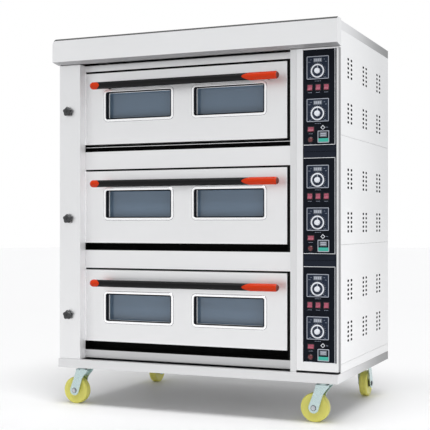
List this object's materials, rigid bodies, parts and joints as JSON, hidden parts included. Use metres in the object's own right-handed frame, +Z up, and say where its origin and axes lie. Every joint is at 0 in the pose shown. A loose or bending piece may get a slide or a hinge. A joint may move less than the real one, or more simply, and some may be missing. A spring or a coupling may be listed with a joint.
{
  "type": "deck oven",
  "caption": "Stacked baking deck oven in stainless steel with drop-down windowed doors, black control panels down the right side, a projecting top fascia and swivel casters.",
  "frame": {"origin": "on the floor under the centre of the cabinet", "axes": "+Z up, -Y out of the front towards the baker, +X to the control side"},
  "size_m": [1.2645, 0.87, 1.565],
  "materials": {
    "polished_steel": "fine-brushed stainless steel, polished",
    "side_steel": "satin stainless sheet",
    "chamber_liner": "matt aluminised steel, heat-toned",
    "heating_element": "oxidised sheath",
    "control_black": "satin black overlay",
    "window_glass": "clear tempered glass with a grey tint",
    "handle_black": "satin black sleeve",
    "dial_white": "white ring on a slate disc",
    "switch_red": "translucent red, moulded",
    "knob_grey": "fine-grained dark moulding",
    "zinc": "bright zinc plate",
    "wheel_yellow": "moulded, slightly waxy",
    "handle_orange": "moulded orange-red",
    "keypad_teal": "membrane keys"
  },
  "bodies": {
    "cabinet": {"base_frame": "polished_steel", "top_cover": "polished_steel", "front_fascia": "polished_steel", "left_column": "polished_steel", "door_post": "polished_steel", "control_column": "polished_steel", "left_side_panel": "side_steel", "right_side_panel": "side_steel", "back_panel": "side_steel", "front_frame": "polished_steel", "bottom_chamber": "chamber_liner", "bottom_lower_heater": "heating_element", "bottom_upper_heater": "heating_element", "bottom_control_panel": "control_black", "middle_chamber": "chamber_liner", "middle_lower_heater": "heating_element", "middle_upper_heater": "heating_element", "middle_control_panel": "control_black", "top_chamber": "chamber_liner", "top_lower_heater": "heating_element", "top_upper_heater": "heating_element", "top_control_panel": "control_black"},
    "bottom_door": {"bottom_door_panel": "polished_steel", "bottom_door_glass": "window_glass", "bottom_door_handle": "handle_black"},
    "bottom_upper_dial": {"bottom_upper_dial": "dial_white"},
    "bottom_lower_dial": {"bottom_lower_dial": "dial_white"},
    "bottom_upper_heat_switch": {"bottom_upper_heat_switch": "switch_red"},
    "bottom_lower_heat_switch": {"bottom_lower_heat_switch": "switch_red"},
    "bottom_light_switch": {"bottom_light_switch": "switch_red"},
    "bottom_power_switch": {"bottom_power_switch": "switch_red"},
    "bottom_vent_knob": {"bottom_vent_knob": "knob_grey"},
    "middle_door": {"middle_door_panel": "polished_steel", "middle_door_glass": "window_glass", "middle_door_handle": "handle_black"},
    "middle_upper_dial": {"middle_upper_dial": "dial_white"},
    "middle_lower_dial": {"middle_lower_dial": "dial_white"},
    "middle_upper_heat_switch": {"middle_upper_heat_switch": "switch_red"},
    "middle_lower_heat_switch": {"middle_lower_heat_switch": "switch_red"},
    "middle_light_switch": {"middle_light_switch": "switch_red"},
    "middle_power_switch": {"middle_power_switch": "switch_red"},
    "middle_vent_knob": {"middle_vent_knob": "knob_grey"},
    "top_door": {"top_door_panel": "polished_steel", "top_door_glass": "window_glass", "top_door_handle": "handle_black"},
    "top_upper_dial": {"top_upper_dial": "dial_white"},
    "top_lower_dial": {"top_lower_dial": "dial_white"},
    "top_upper_heat_switch": {"top_upper_heat_switch": "switch_red"},
    "top_lower_heat_switch": {"top_lower_heat_switch": "switch_red"},
    "top_light_switch": {"top_light_switch": "switch_red"},
    "top_power_switch": {"top_power_switch": "switch_red"},
    "top_vent_knob": {"top_vent_knob": "knob_grey"},
    "front_left_caster": {"front_left_caster_fork": "zinc"},
    "front_left_wheel": {"front_left_caster_wheel": "wheel_yellow"},
    "front_right_caster": {"front_right_caster_fork": "zinc"},
    "front_right_wheel": {"front_right_caster_wheel": "wheel_yellow"},
    "rear_left_caster": {"rear_left_caster_fork": "zinc"},
    "rear_left_wheel": {"rear_left_caster_wheel": "wheel_yellow"},
    "rear_right_caster": {"rear_right_caster_fork": "zinc"},
    "rear_right_wheel": {"rear_right_caster_wheel": "wheel_yellow"}
  },
  "joints": [
    {"name": "bottom_door_hinge", "type": "hinge", "parent": "cabinet", "child": "bottom_door", "pos_m": [-0.05975, -0.32, 0.293], "axis": [1, 0, 0], "range_deg": [0, 90]},
    {"name": "bottom_upper_dial_turn", "type": "hinge", "parent": "cabinet", "child": "bottom_upper_dial", "pos_m": [0.538, -0.394, 0.528], "axis": [0, -1, 0], "range_deg": [0, 300]},
    {"name": "bottom_lower_dial_turn", "type": "hinge", "parent": "cabinet", "child": "bottom_lower_dial", "pos_m": [0.538, -0.394, 0.364], "axis": [0, -1, 0], "range_deg": [0, 300]},
    {"name": "bottom_upper_heat_switch_rock", "type": "hinge", "parent": "cabinet", "child": "bottom_upper_heat_switch", "pos_m": [0.505, -0.386, 0.465], "axis": [1, 0, 0], "range_deg": [0, 20]},
    {"name": "bottom_lower_heat_switch_rock", "type": "hinge", "parent": "cabinet", "child": "bottom_lower_heat_switch", "pos_m": [0.538, -0.386, 0.465], "axis": [1, 0, 0], "range_deg": [0, 20]},
    {"name": "bottom_light_switch_rock", "type": "hinge", "parent": "cabinet", "child": "bottom_light_switch", "pos_m": [0.571, -0.386, 0.465], "axis": [1, 0, 0], "range_deg": [0, 20]},
    {"name": "bottom_power_switch_rock", "type": "hinge", "parent": "cabinet", "child": "bottom_power_switch", "pos_m": [0.509, -0.386, 0.304], "axis": [1, 0, 0], "range_deg": [0, 20]},
    {"name": "bottom_vent_knob_turn", "type": "hinge", "parent": "cabinet", "child": "bottom_vent_knob", "pos_m": [-0.576, -0.394, 0.39], "axis": [0, 1, 0], "range_deg": [0, 90]},
    {"name": "middle_door_hinge", "type": "hinge", "parent": "cabinet", "child": "middle_door", "pos_m": [-0.05975, -0.32, 0.713], "axis": [1, 0, 0], "range_deg": [0, 90]},
    {"name": "middle_upper_dial_turn", "type": "hinge", "parent": "cabinet", "child": "middle_upper_dial", "pos_m": [0.538, -0.394, 0.948], "axis": [0, -1, 0], "range_deg": [0, 300]},
    {"name": "middle_lower_dial_turn", "type": "hinge", "parent": "cabinet", "child": "middle_lower_dial", "pos_m": [0.538, -0.394, 0.784], "axis": [0, -1, 0], "range_deg": [0, 300]},
    {"name": "middle_upper_heat_switch_rock", "type": "hinge", "parent": "cabinet", "child": "middle_upper_heat_switch", "pos_m": [0.505, -0.386, 0.885], "axis": [1, 0, 0], "range_deg": [0, 20]},
    {"name": "middle_lower_heat_switch_rock", "type": "hinge", "parent": "cabinet", "child": "middle_lower_heat_switch", "pos_m": [0.538, -0.386, 0.885], "axis": [1, 0, 0], "range_deg": [0, 20]},
    {"name": "middle_light_switch_rock", "type": "hinge", "parent": "cabinet", "child": "middle_light_switch", "pos_m": [0.571, -0.386, 0.885], "axis": [1, 0, 0], "range_deg": [0, 20]},
    {"name": "middle_power_switch_rock", "type": "hinge", "parent": "cabinet", "child": "middle_power_switch", "pos_m": [0.509, -0.386, 0.724], "axis": [1, 0, 0], "range_deg": [0, 20]},
    {"name": "middle_vent_knob_turn", "type": "hinge", "parent": "cabinet", "child": "middle_vent_knob", "pos_m": [-0.576, -0.394, 0.801], "axis": [0, 1, 0], "range_deg": [0, 90]},
    {"name": "top_door_hinge", "type": "hinge", "parent": "cabinet", "child": "top_door", "pos_m": [-0.05975, -0.32, 1.133], "axis": [1, 0, 0], "range_deg": [0, 90]},
    {"name": "top_upper_dial_turn", "type": "hinge", "parent": "cabinet", "child": "top_upper_dial", "pos_m": [0.538, -0.394, 1.368], "axis": [0, -1, 0], "range_deg": [0, 300]},
    {"name": "top_lower_dial_turn", "type": "hinge", "parent": "cabinet", "child": "top_lower_dial", "pos_m": [0.538, -0.394, 1.204], "axis": [0, -1, 0], "range_deg": [0, 300]},
    {"name": "top_upper_heat_switch_rock", "type": "hinge", "parent": "cabinet", "child": "top_upper_heat_switch", "pos_m": [0.505, -0.386, 1.305], "axis": [1, 0, 0], "range_deg": [0, 20]},
    {"name": "top_lower_heat_switch_rock", "type": "hinge", "parent": "cabinet", "child": "top_lower_heat_switch", "pos_m": [0.538, -0.386, 1.305], "axis": [1, 0, 0], "range_deg": [0, 20]},
    {"name": "top_light_switch_rock", "type": "hinge", "parent": "cabinet", "child": "top_light_switch", "pos_m": [0.571, -0.386, 1.305], "axis": [1, 0, 0], "range_deg": [0, 20]},
    {"name": "top_power_switch_rock", "type": "hinge", "parent": "cabinet", "child": "top_power_switch", "pos_m": [0.509, -0.386, 1.144], "axis": [1, 0, 0], "range_deg": [0, 20]},
    {"name": "top_vent_knob_turn", "type": "hinge", "parent": "cabinet", "child": "top_vent_knob", "pos_m": [-0.576, -0.394, 1.259], "axis": [0, 1, 0], "range_deg": [0, 90]},
    {"name": "front_left_caster_swivel", "type": "hinge", "parent": "cabinet", "child": "front_left_caster", "pos_m": [-0.541, -0.31, 0.155], "axis": [0, 0, 1], "continuous": true},
    {"name": "front_left_wheel_spin", "type": "hinge", "parent": "front_left_caster", "child": "front_left_wheel", "pos_m": [-0.579, -0.31, 0.0575], "axis": [0, 1, 0], "continuous": true},
    {"name": "front_right_caster_swivel", "type": "hinge", "parent": "cabinet", "child": "front_right_caster", "pos_m": [0.541, -0.31, 0.155], "axis": [0, 0, 1], "continuous": true},
    {"name": "front_right_wheel_spin", "type": "hinge", "parent": "front_right_caster", "child": "front_right_wheel", "pos_m": [0.503, -0.31, 0.0575], "axis": [0, 1, 0], "continuous": true},
    {"name": "rear_left_caster_swivel", "type": "hinge", "parent": "cabinet", "child": "rear_left_caster", "pos_m": [-0.528, 0.328, 0.155], "axis": [0, 0, 1], "continuous": true},
    {"name": "rear_left_wheel_spin", "type": "hinge", "parent": "rear_left_caster", "child": "rear_left_wheel", "pos_m": [-0.528, 0.366, 0.0575], "axis": [1, 0, 0], "continuous": true},
    {"name": "rear_right_caster_swivel", "type": "hinge", "parent": "cabinet", "child": "rear_right_caster", "pos_m": [0.528, 0.328, 0.155], "axis": [0, 0, 1], "continuous": true},
    {"name": "rear_right_wheel_spin", "type": "hinge", "parent": "rear_right_caster", "child": "rear_right_wheel", "pos_m": [0.528, 0.366, 0.0575], "axis": [1, 0, 0], "continuous": true}
  ]
}
